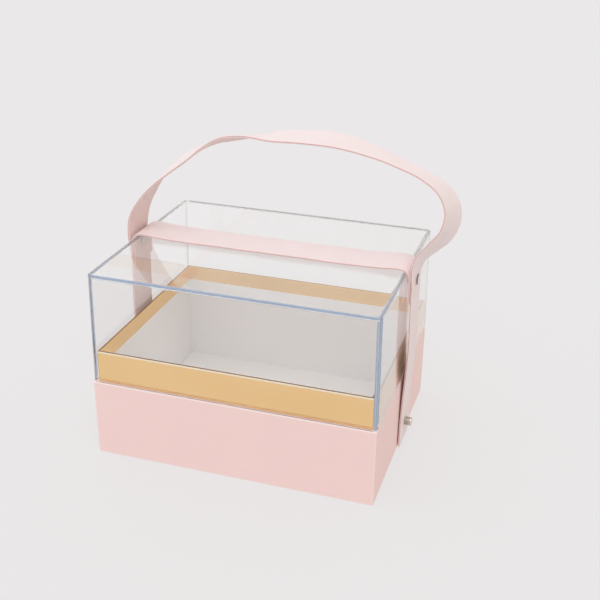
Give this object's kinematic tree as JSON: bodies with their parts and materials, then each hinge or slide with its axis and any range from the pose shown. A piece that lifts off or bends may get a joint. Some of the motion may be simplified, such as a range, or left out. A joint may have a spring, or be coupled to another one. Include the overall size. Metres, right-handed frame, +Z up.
{
  "type": "flower box",
  "caption": "Rectangular rigid flower box: paper-covered tray, foil-edged collar, clear slip-on lid, and a buttoned strap set with a tall carrying loop.",
  "frame": {"origin": "centre of the tray's underside", "axes": "+X along the long side, towards the side where the handle loop bulges; +Y to the back; +Z up"},
  "size_m": [0.2916, 0.2004, 0.2745],
  "materials": {
    "pink_paper": "pale pink covering paper, matt, fine grain",
    "greyboard": "plain grey",
    "gold_foil": "satin gold foil paper",
    "white_paper": "white, matt",
    "clear_plastic": "clear, polished",
    "strap_leather": "pale pink imitation leather, fine grain",
    "rivet_metal": "polished",
    "stud_metal": "nickel-plated, satin"
  },
  "bodies": {
    "tray": {"base_bottom_sheet": "pink_paper", "base_floor_board": "greyboard", "base_front_board": "greyboard", "base_back_board": "greyboard", "base_left_board": "greyboard", "base_right_board": "greyboard", "base_wrap": "pink_paper", "collar_front_board": "greyboard", "collar_back_board": "greyboard", "collar_left_board": "greyboard", "collar_right_board": "greyboard", "collar_foil": "gold_foil", "inner_lining": "white_paper", "inner_floor_card": "white_paper", "stud_knob_left": "stud_metal", "stud_knob_right": "stud_metal", "stud_screw_left": "stud_metal", "stud_screw_right": "stud_metal"},
    "lid": {"lid_shell": "clear_plastic"},
    "strap": {"cross_strap": "strap_leather", "rivet_cap_left": "rivet_metal", "rivet_cap_right": "rivet_metal", "rivet_post_left": "rivet_metal", "rivet_post_right": "rivet_metal"},
    "leg_left": {"strap_leg_left": "strap_leather"},
    "leg_right": {"strap_leg_right": "strap_leather"},
    "handle": {"handle_loop": "strap_leather"}
  },
  "joints": [
    {"name": "lid_lift", "type": "slide", "parent": "tray", "child": "lid", "axis": [0, 0, 1], "range_m": [0, 0.1]},
    {"name": "strap_lift", "type": "slide", "parent": "lid", "child": "strap", "axis": [0, 0, 1], "range_m": [0, 0.03]},
    {"name": "leg_left_swing", "type": "hinge", "parent": "strap", "child": "leg_left", "pos_m": [-0.129, 0.0065, 0.14], "axis": [0, 1, 0], "range_deg": [0, 90]},
    {"name": "leg_right_swing", "type": "hinge", "parent": "strap", "child": "leg_right", "pos_m": [0.129, 0.0065, 0.14], "axis": [0, -1, 0], "range_deg": [0, 90]},
    {"name": "handle_swing", "type": "hinge", "parent": "strap", "child": "handle", "pos_m": [0, 0.0065, 0.16], "axis": [1, 0, 0], "range_deg": [-40, 40], "stiffness_Nm_per_rad": 0.06}
  ],
  "couplings": [
    {"joint": "strap_lift", "follows": "lid_lift", "ratio": 0.3},
    {"joint": "leg_left_swing", "follows": "lid_lift", "rad_per_m": 15.7},
    {"joint": "leg_right_swing", "follows": "lid_lift", "rad_per_m": 15.7}
  ]
}
